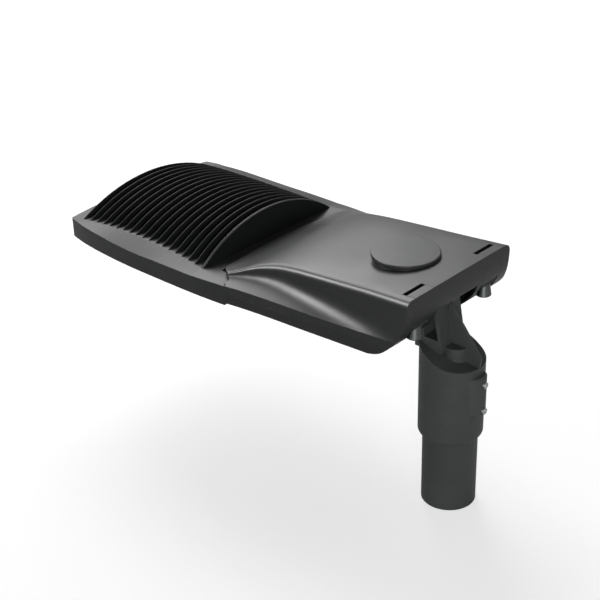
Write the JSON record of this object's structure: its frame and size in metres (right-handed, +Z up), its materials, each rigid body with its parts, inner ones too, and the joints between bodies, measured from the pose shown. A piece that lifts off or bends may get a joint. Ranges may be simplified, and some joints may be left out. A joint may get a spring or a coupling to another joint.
{
  "type": "led street light",
  "caption": "Flat pole-top LED street light: finned heat-sink housing, hinged gear cover with round control cap, slip-over bracket and a short pole stub.",
  "frame": {"origin": "centre of the lower end of the pole stub", "axes": "+Z up along the pole axis, -X forward from the pole over the road, +Y to the right when looking forward"},
  "size_m": [0.6749, 0.3144, 0.3562],
  "materials": {
    "coated_casting": "satin anthracite powder coat",
    "pole_steel": "satin grey-green coat",
    "bright_steel": "bright zinc-plated",
    "thumb_screw_metal": "satin plated",
    "seal_rubber": "matte",
    "cap_plastic": "satin",
    "dark_plastic": "matte",
    "white_plastic": "satin",
    "brass": "bright",
    "board_white": "white solder mask on aluminium",
    "led_phosphor": "yellow phosphor",
    "lens_clear": "clear moulded acrylic",
    "glass_clear": "flat tempered glass",
    "sheet_steel": "galvanised",
    "driver_case": "satin",
    "polyamide": "moulded"
  },
  "bodies": {
    "lamp_body": {"breather_plug": "polyamide", "cable_gland": "polyamide", "cable_gland_nut": "polyamide", "cooling_fins": "coated_casting", "cover_hinge_pins": "bright_steel", "earth_screw": "brass", "far_led_board": "board_white", "far_led_packages": "led_phosphor", "far_lens_array": "lens_clear", "flange_bolts": "bright_steel", "flange_washers": "bright_steel", "gear_plate": "sheet_steel", "gear_plate_screws": "bright_steel", "gear_screws": "bright_steel", "glass_frame": "coated_casting", "glass_frame_screws": "bright_steel", "glass_pane": "glass_clear", "glass_seal": "seal_rubber", "housing": "coated_casting", "led_driver": "driver_case", "lens_screws": "bright_steel", "near_led_board": "board_white", "near_led_packages": "led_phosphor", "near_lens_array": "lens_clear", "pole_bracket": "coated_casting", "pole_set_screws": "bright_steel", "pole_stub": "pole_steel", "surge_protector": "white_plastic", "terminal_block": "white_plastic"},
    "cover_body": {"gear_cover": "coated_casting", "cover_seal": "seal_rubber", "strap_screws": "bright_steel", "near_strap": "coated_casting", "far_strap": "coated_casting", "control_socket": "dark_plastic", "control_socket_seal": "seal_rubber", "control_socket_screws": "bright_steel", "control_socket_contacts": "brass", "cap_seal": "seal_rubber"},
    "cap_body": {"turning_cap": "cap_plastic", "cap_blades": "brass"},
    "near_screw_body": {"near_thumb_screw": "thumb_screw_metal"},
    "far_screw_body": {"far_thumb_screw": "thumb_screw_metal"}
  },
  "joints": [
    {"name": "cover_hinge", "type": "hinge", "parent": "lamp_body", "child": "cover_body", "pos_m": [-0.302, 0, 0.2982], "axis": [0, -1, 0], "range_deg": [0, 60]},
    {"name": "cap_turn", "type": "hinge", "parent": "cover_body", "child": "cap_body", "pos_m": [-0.081, 0, 0.35], "axis": [0, 0, 1], "range_deg": [0, 30]},
    {"name": "near_screw_turn", "type": "hinge", "parent": "lamp_body", "child": "near_screw_body", "pos_m": [-0.0064, -0.075, 0.295], "axis": [0, 0, 1], "continuous": true},
    {"name": "far_screw_turn", "type": "hinge", "parent": "lamp_body", "child": "far_screw_body", "pos_m": [-0.0064, 0.075, 0.295], "axis": [0, 0, 1], "continuous": true}
  ]
}
